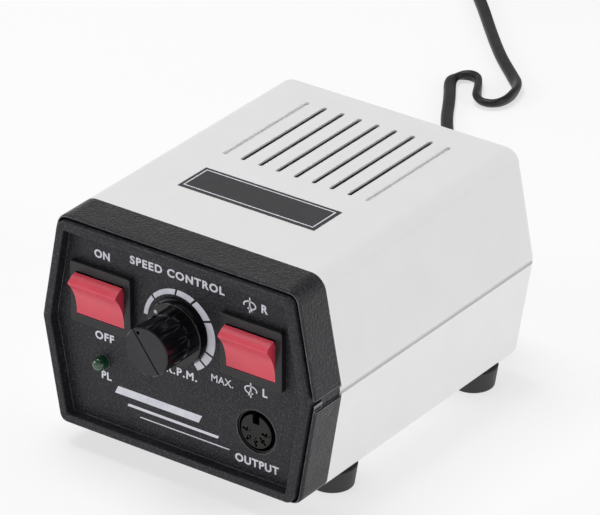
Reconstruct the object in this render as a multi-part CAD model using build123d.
from build123d import *
from collections import namedtuple
import math
import os

# Bench control unit of a flexible-drive rotary tool: a moulded case with a control panel, its
# transformer and board, and a flat mains lead.
# Millimetres. +Z is up, the panel faces -Y, and +X is the user's right. The origin is on the
# table, under the middle of the unit measured without its lead.

# --- Case: a six-sided tube, widest at the waist where its halves meet ---
Hexagon = namedtuple("Hexagon", "bottom waist top z_bottom z_waist z_top r_bottom r_waist r_top")
FOOT_HEIGHT = 7.5
WAIST_Z = 45.1
TOP_Z = 83.4
CASE = Hexagon(47.8, 54.1, 46.9, FOOT_HEIGHT, WAIST_Z, TOP_Z, 4.5, 6.0, 5.9)
PANEL = Hexagon(46.0, 52.35, 45.7, 8.6, 45.4, 81.4, 3.0, 4.0, 3.0)
WALL = 2.2
REAR_Y = 63.5
REAR_RADIUS = 4.0
SEAM_HEIGHT = 2.3
SEAM_DEPTH = 1.0

# --- Front: the panel is a tray that stands a little proud of the black bezel ---
RIM_Y = -62.6
BEZEL_FRONT_Y = -60.4
BEZEL_BACK_Y = -46.5
RIM_WIDTH = 3.0
FLOOR_Y = RIM_Y + 3.9
FLOOR_THICKNESS = 2.5
PANEL_BACK_Y = FLOOR_Y + FLOOR_THICKNESS
PANEL_GAP = 0.9
LEDGE_WIDTH = 5.0
LEDGE_THICKNESS = 3.0
BEZEL_GROOVE_HEIGHT = 4.1
BEZEL_GROOVE_DEPTH = 0.8

# --- Top: a row of slots and the nameplate ---
SLOT_PITCH = 7.05
SLOTS_EACH_SIDE = 4
SLOT_LENGTH = 46.8
SLOT_WIDTH = 1.8
SLOT_CENTRE_Y = 26.1
BLIND_SLOT_DEPTH = 0.9
SLOT_LIP = 0.7
SLOT_RELIEF = 1.6
PLATE_SIZE = (53.8, 15.4, 0.6)
PLATE_CENTRE = (-0.2, -16.1)
PLATE_POCKET = 0.4

# --- Feet, and the long screws that go up through them and close the case ---
FOOT_X = 39.6
FOOT_YS = (-31.5, 48.5)
FOOT_RADIUS_BOTTOM = 7.2
FOOT_RADIUS_TOP = 8.3
POST_RADIUS = 4.2
SCREW_RADIUS = 1.6
SCREW_HEAD_RADIUS = 3.2

# --- Rocker switches, the size of the common two-pole type ---
SWITCH_XS = {"power": -30.1, "direction": 29.2}
SWITCH_POLES = {"power": 2, "direction": 3}
SWITCH_Z = 56.95
FRAME_WIDTH = 24.1
FRAME_HEIGHT = 21.5
FRAME_PROUD = 2.3
SWITCH_BODY = (21.8, 19.2, 14.0)
ROCKER_WIDTH = 18.9
ROCKER_RADIUS = 7.68
ROCKER_GAP = 0.2
PIVOT_DEPTH = 1.4
RIDGE_ANGLE = 59.6
SKIRT_ANGLE = 95.0
ROCKER_REST = 19.9
ROCKER_HOLLOW = 1.4
PIVOT_PIN_RADIUS = 1.2

# --- Speed knob and its potentiometer ---
KNOB_X = -0.3
KNOB_Z = 54.4
KNOB_FRONT_Y = -76.0
KNOB_BACK_Y = FLOOR_Y - 1.0
SKIRT_FRONT_Y = FLOOR_Y - 3.3
SKIRT_RADIUS_BACK = 11.4
SKIRT_RADIUS_FRONT = 10.7
KNOB_RADIUS = 8.4
KNOB_FLUTES = 12
CAP_RADIUS = 8.0
CAP_GAP = 0.02
POINTER_WIDTH = 0.7
POINTER_DEPTH = 0.3
CAP_THICKNESS = 1.2
POINTER_ANGLE = 127.0
SHAFT_RADIUS = 3.0
BUSHING_RADIUS = 3.5
POT_RADIUS = 12.0
POT_DEPTH = 10.0

# --- Pilot lamp and output socket ---
LED_X = -31.2
LED_Z = 33.3
LED_RADIUS = 2.5
LED_CYLINDER_PROUD = 1.85
SOCKET_X = 29.7
SOCKET_Z = 27.9
SOCKET_HOLE_RADIUS = 7.65
SOCKET_BORE_RADIUS = 7.0
INSERT_RADIUS = 5.95
SOCKET_SCREW_X = 10.4
CONTACT_CIRCLE = 3.75
CONTACT_ANGLES = (180, 225, 270, 315, 360)

# --- Transformer and board ---
FLOOR_Z = FOOT_HEIGHT + WALL
CORE_SIZE = (57.0, 24.0, 47.5)
CORE_Y = 14.0
CORE_BASE_Z = FLOOR_Z + 4.0
LEG_WIDTH = 19.0
WINDOW_SIZE = (9.5, 28.5)
STRAP = 1.2
BOARD_X = 33.0
BOARD_YS = (-40.0, -8.0)
BOARD_Z = FLOOR_Z + 6.0
BOARD_THICKNESS = 1.6
BOARD_TOP = BOARD_Z + BOARD_THICKNESS
BOARD_SCREWS = [(x, y) for x in (-29, 29) for y in (-36.5, -11.5)]

# --- Rear: fuse, foot-switch jack and lead ---
FUSE_X = 28.0
FUSE_Z = 30.0
FUSE_CAP_REAR_Y = -KNOB_FRONT_Y
JACK_X = 2.0
JACK_Z = 28.0
JACK_BORE_RADIUS = 3.25
LEAD_X = -28.0
LEAD_Z = 20.0
BOOT_LENGTH = 28.0
BOOT_END_Y = REAR_Y + BOOT_LENGTH

# --- Flat two-core lead: the tube is as thick as the lead is ---
LEAD_WIDTH = 4.6
LEAD_THICKNESS = 2.8
TABLE_Z = LEAD_THICKNESS / 2
COIL_CENTRE = (-128.0, 343.0)
COIL_INNER = 16.8
COIL_OUTER = 30.6
COIL_BASE = 0.6
COIL_HEIGHT = 9.4
LAYER_ONE_Z = COIL_BASE + LEAD_WIDTH / 2
LAYER_TWO_Z = LAYER_ONE_Z + LEAD_WIDTH + 0.1
TURN_OUTER = 29.0
TIE_WIDTH = 9.0
LEAD_ROUTE = [
    (LEAD_X, BOOT_END_Y, LEAD_Z),
    (LEAD_X, 102.0, LEAD_Z),
    (-28.9, 113.5, 14.2),
    (-30.8, 125.5, 5.4),
    (-34.0, 140.0, TABLE_Z),
    (-41.5, 157.0, TABLE_Z),
    (-53.0, 174.5, TABLE_Z),
    (-66.5, 188.5, TABLE_Z),
    (-77.0, 202.5, TABLE_Z),
    (-83.6, 213.8, TABLE_Z),
    (-88.8, 221.9, TABLE_Z),
    (-92.2, 226.8, TABLE_Z),
    (-94.2, 231.0, TABLE_Z),
    (-92.8, 234.8, TABLE_Z),
    (-89.3, 236.6, TABLE_Z),
    (-85.5, 235.6, TABLE_Z),
    (-82.8, 231.9, TABLE_Z),
    (-80.0, 227.0, TABLE_Z),
    (-77.4, 222.6, TABLE_Z),
    (-73.5, 220.7, TABLE_Z),
    (-69.6, 222.1, TABLE_Z),
    (-67.5, 225.8, TABLE_Z),
    (-67.7, 231.6, TABLE_Z),
    (-69.8, 238.8, TABLE_Z),
    (-77.4, 246.0, TABLE_Z),
    (-91.0, 258.2, TABLE_Z),
    (-106.5, 274.6, TABLE_Z),
    (-122.0, 291.6, TABLE_Z),
    (-137.5, 306.4, TABLE_Z),
    (-151.2, 325.6, LAYER_ONE_Z),
]
PLUG_SIZE = (34.0, 36.0, 14.0)
PLUG_PIN_SPACING = 19.0
PLUG_PIN_RADIUS = 2.0
PLUG_PIN_LENGTH = 19.0
PLUG_BACK = (COIL_CENTRE[0] + 34.0, COIL_CENTRE[1] + TURN_OUTER)
TAIL_ROUTE = [
    (COIL_CENTRE[0], PLUG_BACK[1], LAYER_TWO_Z),
    (COIL_CENTRE[0] + 14.0, PLUG_BACK[1] - 0.4, LAYER_TWO_Z),
    (COIL_CENTRE[0] + 24.0, PLUG_BACK[1], PLUG_SIZE[2] / 2),
    (*PLUG_BACK, PLUG_SIZE[2] / 2),
]


# --- Building blocks ---
def facing(y):
    """A plane that faces the front at depth y; its own axes are X and Z."""
    return Plane(origin=(0, y, 0), x_dir=(1, 0, 0), z_dir=(0, -1, 0))


def prism(face, y_front, y_back):
    """Carry a face drawn in X and Z straight back from y_front to y_back."""
    return extrude(facing(y_front) * face, amount=y_front - y_back)


def rod(x, z, y_front, y_back, radius):
    return prism(Pos(x, z) * Circle(radius), y_front, y_back)


def column(x, y, z_low, z_high, radius):
    return Pos(x, y, (z_low + z_high) / 2) * Cylinder(radius, z_high - z_low)


def block(xs, ys, zs):
    """A box between two values along each axis."""
    size = [high - low for low, high in (xs, ys, zs)]
    middle = [(high + low) / 2 for low, high in (xs, ys, zs)]
    return Pos(*middle) * Box(*size)


def around(value, width):
    return (value - width / 2, value + width / 2)


def group(solids):
    return Compound(children=list(solids))


def outline(shape, inset=0.0):
    """The hexagon's face, drawn in by inset on every side."""
    slope_up = (shape.waist - shape.top) / (shape.z_top - shape.z_waist)
    slope_down = (shape.waist - shape.bottom) / (shape.z_waist - shape.z_bottom)
    top = shape.top + slope_up * inset - inset * math.hypot(1, slope_up)
    bottom = shape.bottom + slope_down * inset - inset * math.hypot(1, slope_down)
    waist = shape.waist - inset * math.hypot(1, (slope_up + slope_down) / 2)
    z_bottom = shape.z_bottom + inset
    z_top = shape.z_top - inset
    corners = [(bottom, z_bottom), (waist, shape.z_waist), (top, z_top)]
    mirrored = [(-x, z) for x, z in reversed(corners)]
    face = make_face(Polyline(*corners, *mirrored, close=True))
    for index, radius in ((1, shape.r_waist), (-1, shape.r_top), (0, shape.r_bottom)):
        rounded = max(radius - inset, 0.5)
        face = fillet(face.vertices().group_by(Axis.Y)[index], rounded)
    return face


# --- Case halves ---
def case_shell():
    body = prism(outline(CASE), BEZEL_BACK_Y, REAR_Y)
    body = fillet(body.faces().sort_by(Axis.Y)[-1].edges(), REAR_RADIUS)
    inside = prism(outline(CASE, WALL), BEZEL_BACK_Y, REAR_Y - WALL)
    core = prism(outline(CASE, SEAM_DEPTH), BEZEL_BACK_Y, REAR_Y - SEAM_DEPTH)
    belt = block((-60, 60), (BEZEL_BACK_Y, REAR_Y + 1), around(WAIST_Z, SEAM_HEIGHT)) - core
    return body - inside - belt


def top_slots():
    """The vent slots: the outer two are blind, and the wall round the others is thinned inside."""
    cuts = Part()
    for i in range(-SLOTS_EACH_SIDE, SLOTS_EACH_SIDE + 1):
        blind = abs(i) == SLOTS_EACH_SIDE
        place = Pos(i * SLOT_PITCH, SLOT_CENTRE_Y, TOP_Z) * Rot(0, 0, 90)
        slot = place * SlotOverall(SLOT_LENGTH, SLOT_WIDTH)
        cuts += extrude(slot, amount=-BLIND_SLOT_DEPTH if blind else -WALL)
        if not blind:
            wider = SlotOverall(SLOT_LENGTH + 2 * SLOT_RELIEF, SLOT_WIDTH + 2 * SLOT_RELIEF)
            cuts += extrude(Pos(0, 0, -SLOT_LIP) * place * wider, amount=-WALL)
    return cuts


def foot_places():
    return [(x, y) for x in (-FOOT_X, FOOT_X) for y in FOOT_YS]


def upper_cover(shell):
    cover = shell & block((-60, 60), (BEZEL_BACK_Y - 1, REAR_Y + 1), (WAIST_Z, TOP_Z + 1))
    for x, y in foot_places():
        cover += column(x, y, WAIST_Z, TOP_Z - WALL, POST_RADIUS)
        cover -= column(x, y, WAIST_Z, WAIST_Z + 18, SCREW_RADIUS + 0.02)
    pocket = block(
        around(PLATE_CENTRE[0], PLATE_SIZE[0]),
        around(PLATE_CENTRE[1], PLATE_SIZE[1]),
        (TOP_Z - PLATE_POCKET, TOP_Z + 1),
    )
    return cover - pocket - top_slots()


def lap_lip():
    """Strips inside the lower half that stand up behind the upper half's side walls."""
    ring = outline(CASE, WALL + 0.1) - outline(CASE, WALL + 1.2)
    root = outline(CASE, WALL - 0.2) - outline(CASE, WALL + 1.2)
    ys = (BEZEL_BACK_Y + 6, REAR_Y - WALL - 4)
    upper = prism(ring, *ys) & block((-60, 60), ys, (WAIST_Z - 3, WAIST_Z + 2.5))
    lower = prism(root, *ys) & block((-60, 60), ys, (WAIST_Z - 3, WAIST_Z))
    return upper + lower


def lower_case(shell):
    case = shell & block((-60, 60), (BEZEL_BACK_Y - 1, REAR_Y + 1), (0, WAIST_Z))
    case += lap_lip()
    for x, y in foot_places():
        case += column(x, y, FLOOR_Z - 0.5, WAIST_Z, POST_RADIUS)
        case -= column(x, y, 0, WAIST_Z, SCREW_RADIUS + 0.3)
    for x, y in BOARD_SCREWS:
        case += column(x, y, FLOOR_Z - 0.5, BOARD_Z, 3.0)
        case -= column(x, y, BOARD_Z - 5, BOARD_Z, 1.27)
    for y in (CORE_Y - 8, CORE_Y + 8):
        case += block((-26, 26), around(y, 2), (FLOOR_Z - 0.5, CORE_BASE_Z))
    for x in (-35, 35):
        case += column(x, CORE_Y, FLOOR_Z - 0.5, CORE_BASE_Z, 4.0)
        case -= column(x, CORE_Y, FLOOR_Z - 0.5, CORE_BASE_Z, 1.47)
    wall_ys = (REAR_Y - WALL - 1, REAR_Y + 1)
    case -= rod(FUSE_X, FUSE_Z, *wall_ys, 6.1)
    case -= rod(JACK_X, JACK_Z, *wall_ys, 4.6)
    case -= rod(LEAD_X, LEAD_Z, *wall_ys, 5.05)
    return case


def rubber_feet():
    height = FOOT_HEIGHT
    foot = Cone(FOOT_RADIUS_BOTTOM, FOOT_RADIUS_TOP, height)
    foot = fillet(foot.edges().filter_by(GeomType.CIRCLE).sort_by(Axis.Z)[0], 0.6)
    foot -= Cylinder(SCREW_RADIUS + 0.3, height)
    foot -= Pos(0, 0, -height / 2) * Cylinder(SCREW_HEAD_RADIUS + 0.4, 6)
    return group(Pos(x, y, height / 2) * foot for x, y in foot_places())


def wood_screw(head_z, length, radius, head_radius, head_height):
    """A pan-head screw that points up from head_z, with a cross in its head."""
    head = column(0, 0, head_z, head_z + head_height, head_radius)
    head = fillet(head.edges().sort_by(Axis.Z)[0], head_height * 0.4)
    for size in ((head_radius * 1.1, 0.7), (0.7, head_radius * 1.1)):
        head -= Pos(0, 0, head_z + 0.4) * Box(*size, 1.2)
    shank = column(0, 0, head_z + head_height, head_z + length, radius)
    shank = chamfer(shank.edges().sort_by(Axis.Z)[-1], radius * 0.5)
    return head + shank


def case_screws():
    screw = wood_screw(3.0 - 2.2, 60.0, SCREW_RADIUS, SCREW_HEAD_RADIUS, 2.2)
    return group(Pos(x, y, 0) * screw for x, y in foot_places())


def nameplate():
    z_low = TOP_Z - PLATE_POCKET
    plate = block(
        around(PLATE_CENTRE[0], PLATE_SIZE[0] - 0.1),
        around(PLATE_CENTRE[1], PLATE_SIZE[1] - 0.1),
        (z_low, z_low + PLATE_SIZE[2]),
    )
    return chamfer(plate.faces().sort_by(Axis.Z)[-1].edges(), 0.12)


# --- Bezel and panel ---
def front_bezel():
    ring = prism(outline(CASE), BEZEL_FRONT_Y, BEZEL_BACK_Y)
    ring = fillet(ring.faces().sort_by(Axis.Y)[0].edges(), 1.0)
    ledge_back = PANEL_BACK_Y + LEDGE_THICKNESS
    tongue_outer = outline(CASE, WALL + 0.1)
    tongue_inner = outline(CASE, WALL + 1.6)
    ring += prism(tongue_outer, BEZEL_BACK_Y - 1, BEZEL_BACK_Y + 4)
    ring -= prism(outline(PANEL, -PANEL_GAP), BEZEL_FRONT_Y, PANEL_BACK_Y)
    ring -= prism(outline(PANEL, LEDGE_WIDTH), PANEL_BACK_Y, ledge_back)
    ring -= prism(tongue_inner, ledge_back, BEZEL_BACK_Y + 4)
    keep = prism(outline(CASE, BEZEL_GROOVE_DEPTH), BEZEL_FRONT_Y, BEZEL_BACK_Y)
    belt = block((-60, 60), (BEZEL_FRONT_Y, BEZEL_BACK_Y), around(WAIST_Z, BEZEL_GROOVE_HEIGHT))
    return ring - (belt - keep)


def snap_hook(x, z, side):
    """A hook on the panel's back that passes the bezel's ledge and catches behind it."""
    ledge_back = PANEL_BACK_Y + LEDGE_THICKNESS
    ys = (PANEL_BACK_Y, ledge_back + 2.0)
    stem = block(around(x, 8), ys, sorted((z, z - side * 1.6)))
    barb = block(around(x, 8), (ledge_back + 0.1, ledge_back + 2.0), sorted((z, z + side * 1.0)))
    return stem + barb


def front_panel():
    tray = prism(outline(PANEL), RIM_Y, PANEL_BACK_Y)
    recess = prism(outline(PANEL, RIM_WIDTH), RIM_Y, FLOOR_Y)
    tray = tray - recess
    tray = fillet(tray.faces().sort_by(Axis.Y)[0].outer_wire().edges(), 0.7)
    tray = fillet(tray.faces().filter_by(Axis.Y).sort_by(Axis.Y)[0].inner_wires()[0].edges(), 0.5)
    hole_ys = (FLOOR_Y - 1, PANEL_BACK_Y + 1)
    for x in SWITCH_XS.values():
        size = (SWITCH_BODY[0] + 0.2, SWITCH_BODY[1] + 0.2)
        tray -= prism(Pos(x, SWITCH_Z) * Rectangle(*size), *hole_ys)
    tray -= rod(KNOB_X, KNOB_Z, *hole_ys, BUSHING_RADIUS + 0.1)
    tray -= rod(LED_X, LED_Z, *hole_ys, LED_RADIUS + 0.06)
    tray -= rod(SOCKET_X, SOCKET_Z, *hole_ys, SOCKET_HOLE_RADIUS)
    for side in (-1, 1):
        tray -= rod(SOCKET_X + side * SOCKET_SCREW_X, SOCKET_Z, FLOOR_Y + 0.8, PANEL_BACK_Y, 1.02)
    ledge_low = PANEL.z_bottom + LEDGE_WIDTH + 0.15
    ledge_high = PANEL.z_top - LEDGE_WIDTH - 0.15
    for x in (-8, 24):
        tray += snap_hook(x - 8, ledge_low, -1)
        tray += snap_hook(x - 8, ledge_high, 1)
    return tray


# --- Switches ---
def switch_housing(x):
    depth = SWITCH_BODY[2]
    frame_front = FLOOR_Y - FRAME_PROUD
    frame = prism(Pos(x, SWITCH_Z) * RectangleRounded(FRAME_WIDTH, FRAME_HEIGHT, 0.8), frame_front, FLOOR_Y)
    frame = fillet(frame.faces().sort_by(Axis.Y)[0].edges(), 0.35)
    body = prism(Pos(x, SWITCH_Z) * Rectangle(SWITCH_BODY[0], SWITCH_BODY[1]), FLOOR_Y, FLOOR_Y + depth)
    pivot_y = frame_front + PIVOT_DEPTH
    cavity_width = ROCKER_WIDTH + 2 * ROCKER_GAP
    turn = Pos(x, pivot_y, SWITCH_Z) * Rot(0, 90, 0)
    cavity = turn * Cylinder(ROCKER_RADIUS + ROCKER_GAP, cavity_width)
    pins = turn * Cylinder(PIVOT_PIN_RADIUS + 0.05, cavity_width + 1.8)
    return frame + body - cavity - pins


def rocker(x):
    """A two-ended button drawn level about its pivot, then tipped with its lower end in."""
    def at(angle):
        return (ROCKER_RADIUS * math.cos(math.radians(angle)), ROCKER_RADIUS * math.sin(math.radians(angle)))
    middle = (RIDGE_ANGLE + SKIRT_ANGLE) / 2
    face_middle = (at(RIDGE_ANGLE)[0] - ROCKER_HOLLOW, 0)
    edge = [
        ThreePointArc(at(-RIDGE_ANGLE), face_middle, at(RIDGE_ANGLE)),
        ThreePointArc(at(RIDGE_ANGLE), at(middle), at(SKIRT_ANGLE)),
        Line(at(SKIRT_ANGLE), at(-SKIRT_ANGLE)),
        ThreePointArc(at(-SKIRT_ANGLE), at(-middle), at(-RIDGE_ANGLE)),
    ]
    profile = make_face(edge) + Circle(2.4)
    width = ROCKER_WIDTH
    button = Pos(0, 0, -width / 2) * extrude(profile, amount=width)
    ridges = button.edges().filter_by(Axis.Z).sort_by(Axis.X)[-2:]
    button = fillet(ridges, 0.35)
    button += Cylinder(PIVOT_PIN_RADIUS, width + 2 * ROCKER_GAP + 1.2)
    # drawn with X outward and Y up; stood up so that X points to the front and Y to +Z
    upright = Plane(origin=(0, 0, 0), x_dir=(0, -1, 0), z_dir=(-1, 0, 0))
    pivot_y = FLOOR_Y - FRAME_PROUD + PIVOT_DEPTH
    return Pos(x, pivot_y, SWITCH_Z) * Rot(ROCKER_REST, 0, 0) * (upright * button)


def switch_terminals(x, rows):
    back = FLOOR_Y + SWITCH_BODY[2]
    tabs = []
    for column_x in (-5.0, 5.0):
        for row in range(rows):
            z = SWITCH_Z + (row - (rows - 1) / 2) * (13.0 / rows)
            tab = block(around(x + column_x, 0.8), (back, back + 8.0), around(z, 3.6))
            hole = Pos(x + column_x, back + 5.5, z) * Rot(0, 90, 0) * Cylinder(0.7, 2)
            tabs.append(tab - hole)
    return group(tabs)


# --- Speed control ---
def knob_turn():
    """From a knob drawn along Z to its place: its front faces -Y and its dial's right is +X."""
    return Plane(origin=(KNOB_X, 0, KNOB_Z), x_dir=(1, 0, 0), z_dir=(0, -1, 0))


def pointer_groove():
    """The groove cut right across the knob's front."""
    size = (2 * KNOB_RADIUS + 1, POINTER_WIDTH, 2 * POINTER_DEPTH)
    return Rot(0, 0, POINTER_ANGLE) * Pos(0, 0, -KNOB_FRONT_Y) * Box(*size)


def speed_knob():
    back = -KNOB_BACK_Y
    skirt_front = -SKIRT_FRONT_Y
    front = -KNOB_FRONT_Y
    skirt = Pos(0, 0, (back + skirt_front) / 2) * Cone(
        SKIRT_RADIUS_BACK, SKIRT_RADIUS_FRONT, skirt_front - back
    )
    skirt = fillet(skirt.edges().sort_by(Axis.Z)[-1], 0.35)
    body = extrude(Pos(0, 0, skirt_front) * Circle(KNOB_RADIUS), amount=front - skirt_front)
    body = chamfer(body.edges().sort_by(Axis.Z)[-1], 0.3)
    for i in range(KNOB_FLUTES):
        angle = POINTER_ANGLE + (i + 0.5) * 360 / KNOB_FLUTES
        flute = Rot(0, 0, angle) * Pos(KNOB_RADIUS + 0.75, 0, (skirt_front + front) / 2 - 0.4)
        body -= flute * Cylinder(1.25, front - skirt_front - 0.8)
    knob = skirt + body
    knob -= Pos(0, 0, front - CAP_THICKNESS / 2) * Cylinder(CAP_RADIUS, CAP_THICKNESS)
    knob -= Pos(0, 0, back + 1.6) * Cylinder(7.0, 3.2)
    knob -= Pos(0, 0, back + 6.0) * Cylinder(SHAFT_RADIUS + 0.02, 12.0)
    hole = Rot(0, 0, POINTER_ANGLE) * Pos(KNOB_RADIUS / 2 + 0.5, 0, back + 6.4) * Rot(0, 90, 0)
    knob -= hole * Cylinder(1.52, KNOB_RADIUS + 1)
    return knob_turn() * (knob - pointer_groove())


def knob_cap():
    """The plate let into the knob's front, with a pointer line across it."""
    front = -KNOB_FRONT_Y
    plate = Pos(0, 0, front - CAP_THICKNESS / 2) * Cylinder(CAP_RADIUS - CAP_GAP, CAP_THICKNESS)
    return knob_turn() * (plate - pointer_groove())


def knob_set_screw():
    back = -KNOB_BACK_Y
    length = 3.6
    place = Rot(0, 0, POINTER_ANGLE) * Pos(SHAFT_RADIUS + length / 2 + 0.02, 0, back + 6.4) * Rot(0, 90, 0)
    screw = place * Cylinder(1.5, length)
    slot = Rot(0, 0, POINTER_ANGLE) * Pos(SHAFT_RADIUS + length, 0, back + 6.4)
    return knob_turn() * (screw - slot * Box(1.0, 4.0, 0.5))


def potentiometer_body():
    can = rod(KNOB_X, KNOB_Z, PANEL_BACK_Y, PANEL_BACK_Y + POT_DEPTH, POT_RADIUS)
    can = fillet(can.edges().sort_by(Axis.Y)[-1], 1.0)
    cavity = rod(KNOB_X, KNOB_Z, PANEL_BACK_Y + 3.0, PANEL_BACK_Y + 6.6, 10.0)
    bore = rod(KNOB_X, KNOB_Z, PANEL_BACK_Y, PANEL_BACK_Y + 3.0, BUSHING_RADIUS)
    return can - cavity - bore


def potentiometer_bushing():
    bush = rod(KNOB_X, KNOB_Z, FLOOR_Y - 2.6, PANEL_BACK_Y + 3.0, BUSHING_RADIUS)
    return bush - rod(KNOB_X, KNOB_Z, FLOOR_Y - 3, PANEL_BACK_Y + 4, SHAFT_RADIUS + 0.05)


def potentiometer_nut():
    hexagonal = prism(Pos(KNOB_X, KNOB_Z) * RegularPolygon(5.5, 6), FLOOR_Y - 2.0, FLOOR_Y)
    return hexagonal - rod(KNOB_X, KNOB_Z, FLOOR_Y - 3, FLOOR_Y + 1, BUSHING_RADIUS)


def potentiometer_shaft():
    """The shaft and the wiper disc on its inner end."""
    shaft = rod(KNOB_X, KNOB_Z, KNOB_BACK_Y - 11.9, PANEL_BACK_Y + 3.3, SHAFT_RADIUS)
    return shaft + rod(KNOB_X, KNOB_Z, PANEL_BACK_Y + 3.3, PANEL_BACK_Y + 6.3, 9.5)


def potentiometer_terminals():
    tabs = []
    for i in (-1, 0, 1):
        ys = (PANEL_BACK_Y + 4.4, PANEL_BACK_Y + 5.2)
        tabs.append(block(around(KNOB_X + i * 5, 1.6), ys, (KNOB_Z - 20, KNOB_Z - POT_RADIUS)))
    return group(tabs)


# --- Pilot lamp ---
def pilot_led():
    tip = FLOOR_Y - LED_CYLINDER_PROUD
    lens = rod(LED_X, LED_Z, tip, PANEL_BACK_Y, LED_RADIUS)
    lens += Pos(LED_X, tip, LED_Z) * Sphere(LED_RADIUS)
    return lens + rod(LED_X, LED_Z, PANEL_BACK_Y, PANEL_BACK_Y + 1.0, 2.95)


def led_leads():
    ys = (PANEL_BACK_Y + 1.0, PANEL_BACK_Y + 12.0)
    return group(block(around(LED_X + side * 1.27, 0.5), ys, around(LED_Z, 0.5)) for side in (-1, 1))


# --- Output socket ---
def contact_places():
    for angle in CONTACT_ANGLES:
        turn = math.radians(angle)
        yield SOCKET_X + CONTACT_CIRCLE * math.cos(turn), SOCKET_Z + CONTACT_CIRCLE * math.sin(turn)


def socket_shell():
    front = FLOOR_Y + 0.5
    back = FLOOR_Y + 11.0
    tube = rod(SOCKET_X, SOCKET_Z, front, back, SOCKET_HOLE_RADIUS - 0.05)
    flange = prism(Pos(SOCKET_X, SOCKET_Z) * SlotOverall(26.5, 16.6), PANEL_BACK_Y, PANEL_BACK_Y + 1.0)
    for side in (-1, 1):
        flange -= rod(SOCKET_X + side * SOCKET_SCREW_X, SOCKET_Z, PANEL_BACK_Y, PANEL_BACK_Y + 1.0, 1.2)
    return tube + flange - rod(SOCKET_X, SOCKET_Z, front, back, SOCKET_BORE_RADIUS)


def socket_insert():
    front = FLOOR_Y - 0.2
    insert = rod(SOCKET_X, SOCKET_Z, front, FLOOR_Y + 11.0, INSERT_RADIUS)
    insert = fillet(insert.edges().sort_by(Axis.Y)[0], 0.3)
    insert += rod(SOCKET_X, SOCKET_Z, FLOOR_Y + 9.0, FLOOR_Y + 11.0, SOCKET_BORE_RADIUS)
    key_zs = (SOCKET_Z + INSERT_RADIUS - 3.2, SOCKET_Z + INSERT_RADIUS + 1)
    insert -= block(around(SOCKET_X, 2.65), (front - 1, FLOOR_Y + 8.0), key_zs)
    for angle, (x, z) in zip(CONTACT_ANGLES, contact_places()):
        slit = Pos(x, z) * Rot(0, 0, angle) * SlotOverall(3.4, 0.75)
        insert -= prism(slit, front - 1, FLOOR_Y + 8.0)
        insert -= rod(x, z, front - 1, FLOOR_Y + 11.0, 0.85)
    return insert


def socket_contacts():
    contacts = []
    for x, z in contact_places():
        sleeve = rod(x, z, FLOOR_Y + 0.3, FLOOR_Y + 15.0, 0.82)
        contacts.append(sleeve - rod(x, z, FLOOR_Y + 0.3, FLOOR_Y + 8.0, 0.58))
    return group(contacts)


def socket_screws():
    screws = []
    for side in (-1, 1):
        x = SOCKET_X + side * SOCKET_SCREW_X
        shank = rod(x, SOCKET_Z, FLOOR_Y + 1.0, PANEL_BACK_Y + 1.0, 1.0)
        screws.append(shank + rod(x, SOCKET_Z, PANEL_BACK_Y + 1.0, PANEL_BACK_Y + 2.4, 1.9))
    return group(screws)


# --- Transformer ---
CORE_MIDDLE_Z = CORE_BASE_Z + CORE_SIZE[2] / 2
SPOOL_HALF_HEIGHT = WINDOW_SIZE[1] / 2 - 0.2


def window_xs(side):
    return sorted((side * LEG_WIDTH / 2, side * (LEG_WIDTH / 2 + WINDOW_SIZE[0])))


def transformer_core():
    ys = around(CORE_Y, CORE_SIZE[1])
    core = block(around(0, CORE_SIZE[0]), ys, around(CORE_MIDDLE_Z, CORE_SIZE[2]))
    for side in (-1, 1):
        core -= block(window_xs(side), ys, around(CORE_MIDDLE_Z, WINDOW_SIZE[1]))
    return core


def spool_ring(inner, outer, half_height):
    """A rectangular ring about the core's middle leg, inner and outer mm beyond the leg."""
    def sleeve(grow):
        size = (LEG_WIDTH + 2 * grow, CORE_SIZE[1] + 2 * grow)
        return Pos(0, CORE_Y, CORE_MIDDLE_Z) * Box(*size, 2 * half_height)
    return sleeve(outer) - sleeve(inner)


def transformer_bobbin():
    spool = spool_ring(0.15, 1.1, SPOOL_HALF_HEIGHT)
    for side in (-1, 1):
        flange = spool_ring(0.15, 9.0, 0.6)
        spool += Pos(0, 0, side * (SPOOL_HALF_HEIGHT - 0.6)) * flange
    return spool


def transformer_bracket():
    low = CORE_BASE_Z
    high = CORE_BASE_Z + CORE_SIZE[2]
    ys = around(CORE_Y, 20)
    half = CORE_SIZE[0] / 2
    strap = block((-half - STRAP, half + STRAP), ys, (low, high + STRAP))
    strap -= block((-half, half), ys, (low, high))
    for side in (-1, 1):
        strap += block(sorted((side * half, side * (half + 12))), ys, (low, low + STRAP))
        strap -= block(sorted((side * half, side * (half - 1))), ys, (low, low + STRAP))
        strap -= column(side * 35, CORE_Y, low - 1, low + STRAP + 1, 1.8)
    return strap


def down_screw(x, y, seat_z, length, radius):
    """A screw driven downward, with its head's underside at seat_z."""
    head = column(x, y, seat_z, seat_z + radius, radius * 1.9)
    head = fillet(head.edges().sort_by(Axis.Z)[-1], radius * 0.4)
    head -= Pos(x, y, seat_z + radius) * Box(radius * 3, 0.6, 0.9)
    return head + column(x, y, seat_z - length, seat_z, radius)


def transformer_screws():
    seat = CORE_BASE_Z + STRAP
    return group(down_screw(x, CORE_Y, seat, 5.0, 1.45) for x in (-35, 35))


# --- Board and what is on it ---
def circuit_board():
    board = block((-BOARD_X, BOARD_X), BOARD_YS, (BOARD_Z, BOARD_TOP))
    for x, y in BOARD_SCREWS:
        board -= column(x, y, BOARD_Z - 1, BOARD_TOP + 1, 1.5)
    return board


def board_screws():
    return group(down_screw(x, y, BOARD_TOP, 6.0, 1.25) for x, y in BOARD_SCREWS)


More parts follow.
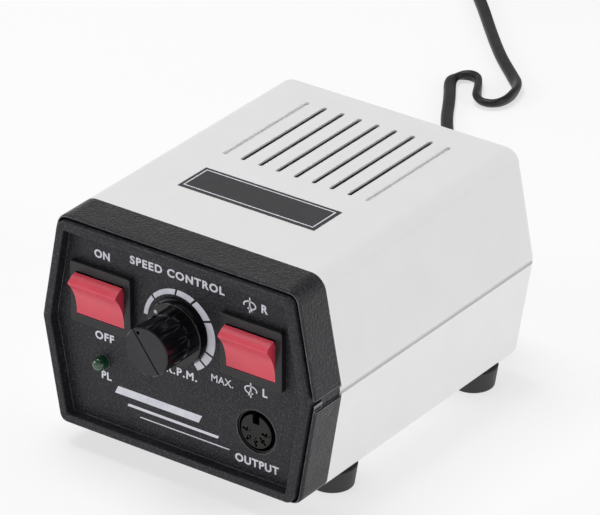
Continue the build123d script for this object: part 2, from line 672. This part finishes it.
def filter_capacitors():
    cans = []
    for x in (-20.5, -3.5):
        can = column(x, -20, BOARD_TOP, BOARD_TOP + 25, 8.0)
        cans.append(fillet(can.edges().sort_by(Axis.Z)[-1], 1.0))
    return group(cans)


def bridge_rectifier():
    body = block((2, 17), (-38.5, -34), (BOARD_TOP, BOARD_TOP + 11))
    return chamfer(body.edges().filter_by(Axis.Y).sort_by(Axis.Z)[-2:], 1.5)


def heat_sink():
    sink = block((8, 26), (-25, -22), (BOARD_TOP, BOARD_TOP + 28))
    for i in range(5):
        sink += block(around(8.75 + i * 4.125, 1.5), (-23, -12), (BOARD_TOP, BOARD_TOP + 28))
    return sink


def power_transistor():
    body = block(around(17, 10), (-29.5, -25), (BOARD_TOP + 6, BOARD_TOP + 16))
    tab = block(around(17, 10), (-26.3, -25), (BOARD_TOP + 16, BOARD_TOP + 22))
    legs = [block(around(17 + i * 2.54, 0.8), (-27.6, -26.8), (BOARD_TOP, BOARD_TOP + 6)) for i in (-1, 0, 1)]
    return body + tab + legs


def wire_connectors():
    places = [(-20, 12), (-5, 8)]
    return group(block(around(x, w), (-38.5, -31), (BOARD_TOP, BOARD_TOP + 9)) for x, w in places)


# --- Rear fittings ---
def fuse_holder():
    holder = rod(FUSE_X, FUSE_Z, REAR_Y - 28, REAR_Y, 6.0)
    holder += rod(FUSE_X, FUSE_Z, REAR_Y, REAR_Y + 2.0, 8.0)
    holder = fillet(holder.edges().sort_by(Axis.Y)[-1], 0.5)
    return holder - rod(FUSE_X, FUSE_Z, REAR_Y - 24, REAR_Y + 3, 4.5)


def fuse_holder_nut():
    nut = prism(Pos(FUSE_X, FUSE_Z) * RegularPolygon(8.5, 6), REAR_Y - WALL - 3, REAR_Y - WALL)
    return nut - rod(FUSE_X, FUSE_Z, REAR_Y - 8, REAR_Y, 6.0)


def fuse_carrier():
    carrier = rod(FUSE_X, FUSE_Z, REAR_Y - 14, REAR_Y + 4.0, 4.2)
    carrier -= rod(FUSE_X, FUSE_Z, REAR_Y - 15, REAR_Y + 1.5, 2.65)
    carrier += rod(FUSE_X, FUSE_Z, REAR_Y + 4.0, REAR_Y + 9.2, 2.0)
    return carrier + rod(FUSE_X, FUSE_Z, REAR_Y + 9.2, REAR_Y + 10.4, 3.0)


def fuse_cap():
    cap = rod(FUSE_X, FUSE_Z, REAR_Y + 2.3, FUSE_CAP_REAR_Y, 6.6)
    cap = fillet(cap.edges().sort_by(Axis.Y)[-1], 0.8)
    for i in range(18):
        angle = math.radians(i * 20)
        x = FUSE_X + 7.0 * math.cos(angle)
        z = FUSE_Z + 7.0 * math.sin(angle)
        cap -= rod(x, z, REAR_Y + 3.6, FUSE_CAP_REAR_Y + 1, 0.8)
    cap -= rod(FUSE_X, FUSE_Z, REAR_Y + 2.3, REAR_Y + 4.3, 4.5)
    cap -= rod(FUSE_X, FUSE_Z, REAR_Y + 4.3, REAR_Y + 8.9, 2.05)
    return cap - rod(FUSE_X, FUSE_Z, REAR_Y + 8.9, FUSE_CAP_REAR_Y, 3.3)


def glass_fuse():
    return rod(FUSE_X, FUSE_Z, REAR_Y - 13.5, REAR_Y - 3.5, 2.35)


def fuse_end_caps():
    front = rod(FUSE_X, FUSE_Z, REAR_Y - 18.5, REAR_Y - 13.5, 2.6)
    back = rod(FUSE_X, FUSE_Z, REAR_Y - 3.5, REAR_Y + 1.5, 2.6)
    return group([front, back])


def foot_switch_jack():
    inner_wall = REAR_Y - WALL
    body = block(around(JACK_X, 13), (inner_wall - 19, inner_wall), around(JACK_Z, 13))
    body += rod(JACK_X, JACK_Z, inner_wall, REAR_Y + 4.0, 4.5)
    return body - rod(JACK_X, JACK_Z, inner_wall - 18, REAR_Y + 4.0, JACK_BORE_RADIUS)


def jack_nut():
    nut = prism(Pos(JACK_X, JACK_Z) * RegularPolygon(6.6, 6), REAR_Y, REAR_Y + 2.4)
    return nut - rod(JACK_X, JACK_Z, REAR_Y, REAR_Y + 3, 4.5)


def jack_contacts():
    front = REAR_Y - WALL - 19
    tabs = []
    for i in (-1, 0, 1):
        tabs.append(block(around(JACK_X + i * 4, 1.8), (front - 6, front), around(JACK_Z, 0.5)))
    return group(tabs)


def strain_relief():
    """A tapered boot outside the wall, its neck through the wall, and a collar inside."""
    profile = [(0, REAR_Y - WALL - 3), (7.0, REAR_Y - WALL - 3), (7.0, REAR_Y - WALL), (5.0, REAR_Y - WALL)]
    profile += [(5.0, REAR_Y), (6.6, REAR_Y), (6.6, REAR_Y + 2.5), (5.4, REAR_Y + 3.5)]
    ribs = 5
    pitch = (BOOT_LENGTH - 7.5) / ribs
    for i in range(ribs):
        y = REAR_Y + 3.5 + i * pitch
        radius = 5.4 - i * 0.5
        profile += [(radius, y + pitch - 1.0), (radius - 1.0, y + pitch - 1.0), (radius - 1.0, y + pitch)]
        profile += [(radius - 0.5, y + pitch)]
    profile += [(2.8, BOOT_END_Y), (0, BOOT_END_Y)]
    boot = revolve(make_face(Polyline(*profile, close=True)), Axis.Y)
    return Pos(LEAD_X, 0, LEAD_Z) * boot


# --- Mains lead ---
def turn_at(before, point, after):
    """The angle in degrees by which the route turns at a point."""
    return (Vector(*point) - Vector(*before)).get_angle(Vector(*after) - Vector(*point))


def bend_radii(route):
    radii = []
    for before, point, after in zip(route, route[1:], route[2:]):
        shorter = min(math.dist(before, point), math.dist(point, after))
        radii.append(0.45 * shorter / math.tan(math.radians(turn_at(before, point, after) / 2)))
    return radii


def lead_tube(name, route):
    radii = bend_radii(route)
    path = FilletPolyline(*route, radius=radii)
    start = Plane(origin=route[0], z_dir=path % 0)
    tube = sweep(start * Circle(LEAD_THICKNESS / 2), path=path)
    filled = tube.volume / (math.pi * LEAD_THICKNESS**2 / 4 * path.length)
    print(name, "length", round(path.length, 1), "volume / (section x length)", round(filled, 4))
    print(name, "bend radii", [round(r, 1) for r in radii])
    return tube


def mains_cord():
    """The lead from the boot to the coil, and its tail from the coil to the plug."""
    return group([lead_tube("lead", LEAD_ROUTE), lead_tube("tail", TAIL_ROUTE)])


def mains_cord_coil():
    ring = Cylinder(COIL_OUTER, COIL_HEIGHT) - Cylinder(COIL_INNER, COIL_HEIGHT)
    ring = fillet(ring.edges().filter_by(GeomType.CIRCLE), 1.2)
    return Pos(*COIL_CENTRE, COIL_BASE + COIL_HEIGHT / 2) * ring


def cord_tie():
    """A band once round the coil's bundle of turns, lying under and over it."""
    band = 0.6
    middle = (COIL_INNER + COIL_OUTER) / 2
    bundle = COIL_OUTER - COIL_INNER + 1.2
    outside = Box(TIE_WIDTH, bundle + 2 * band, COIL_HEIGHT + 2 * band)
    inside = Box(TIE_WIDTH, bundle, COIL_HEIGHT)
    place = Pos(*COIL_CENTRE, COIL_BASE + COIL_HEIGHT / 2) * Pos(0, middle, 0)
    return place * (outside - inside)


def mains_plug():
    """A flat two-pin plug body that narrows towards its cord, pins pointing to +X."""
    width, length, height = PLUG_SIZE
    x, y = PLUG_BACK
    half = width / 2
    outline_points = [(0, -5), (10, -half + 3), (length - 4, -half), (length, -half + 3)]
    outline_points += [(px, -py) for px, py in reversed(outline_points)]
    body = extrude(make_face(Polyline(*outline_points, close=True)), amount=height)
    body = fillet(body.edges().filter_by(Axis.Z), 1.8)
    body = fillet(body.faces().sort_by(Axis.Z)[-1].edges(), 1.5)
    body = fillet(body.faces().sort_by(Axis.Z)[0].edges(), 1.5)
    return Pos(x, y, 0) * body


def plug_pins():
    pins = []
    for side in (-1, 1):
        pin = Rot(0, 90, 0) * Cylinder(PLUG_PIN_RADIUS, PLUG_PIN_LENGTH)
        pin = fillet(pin.edges().sort_by(Axis.X)[-1], 1.0)
        x = PLUG_BACK[0] + PLUG_SIZE[1] + PLUG_PIN_LENGTH / 2
        y = PLUG_BACK[1] + side * PLUG_PIN_SPACING / 2
        pins.append(Pos(x, y, PLUG_SIZE[2] / 2) * pin)
    return group(pins)


# --- Write every piece ---
def pieces():
    shell = case_shell()
    made = {
        "upper_cover": upper_cover(shell),
        "lower_case": lower_case(shell),
        "front_bezel": front_bezel(),
        "front_panel": front_panel(),
        "nameplate": nameplate(),
        "rubber_feet": rubber_feet(),
        "case_screws": case_screws(),
        "speed_knob": speed_knob(),
        "knob_cap": knob_cap(),
        "knob_set_screw": knob_set_screw(),
        "potentiometer_body": potentiometer_body(),
        "potentiometer_bushing": potentiometer_bushing(),
        "potentiometer_nut": potentiometer_nut(),
        "potentiometer_shaft": potentiometer_shaft(),
        "potentiometer_terminals": potentiometer_terminals(),
        "pilot_led": pilot_led(),
        "led_leads": led_leads(),
        "socket_shell": socket_shell(),
        "socket_insert": socket_insert(),
        "socket_contacts": socket_contacts(),
        "socket_screws": socket_screws(),
        "transformer_core": transformer_core(),
        "transformer_bobbin": transformer_bobbin(),
        "primary_winding": spool_ring(1.15, 4.4, SPOOL_HALF_HEIGHT - 1.25),
        "secondary_winding": spool_ring(4.45, 8.2, SPOOL_HALF_HEIGHT - 1.25),
        "transformer_bracket": transformer_bracket(),
        "transformer_screws": transformer_screws(),
        "circuit_board": circuit_board(),
        "board_screws": board_screws(),
        "filter_capacitors": filter_capacitors(),
        "bridge_rectifier": bridge_rectifier(),
        "heat_sink": heat_sink(),
        "power_transistor": power_transistor(),
        "wire_connectors": wire_connectors(),
        "fuse_holder": fuse_holder(),
        "fuse_holder_nut": fuse_holder_nut(),
        "fuse_carrier": fuse_carrier(),
        "fuse_cap": fuse_cap(),
        "glass_fuse": glass_fuse(),
        "fuse_end_caps": fuse_end_caps(),
        "foot_switch_jack": foot_switch_jack(),
        "jack_nut": jack_nut(),
        "jack_contacts": jack_contacts(),
        "strain_relief": strain_relief(),
        "mains_cord": mains_cord(),
        "mains_cord_coil": mains_cord_coil(),
        "cord_tie": cord_tie(),
        "mains_plug": mains_plug(),
        "plug_pins": plug_pins(),
    }
    for name, x in SWITCH_XS.items():
        made[f"{name}_switch_housing"] = switch_housing(x)
        made[f"{name}_rocker"] = rocker(x)
        made[f"{name}_switch_terminals"] = switch_terminals(x, SWITCH_POLES[name])
    return made


os.makedirs("parts", exist_ok=True)
for node, shape in pieces().items():
    export_step(shape, f"parts/{node}.step")
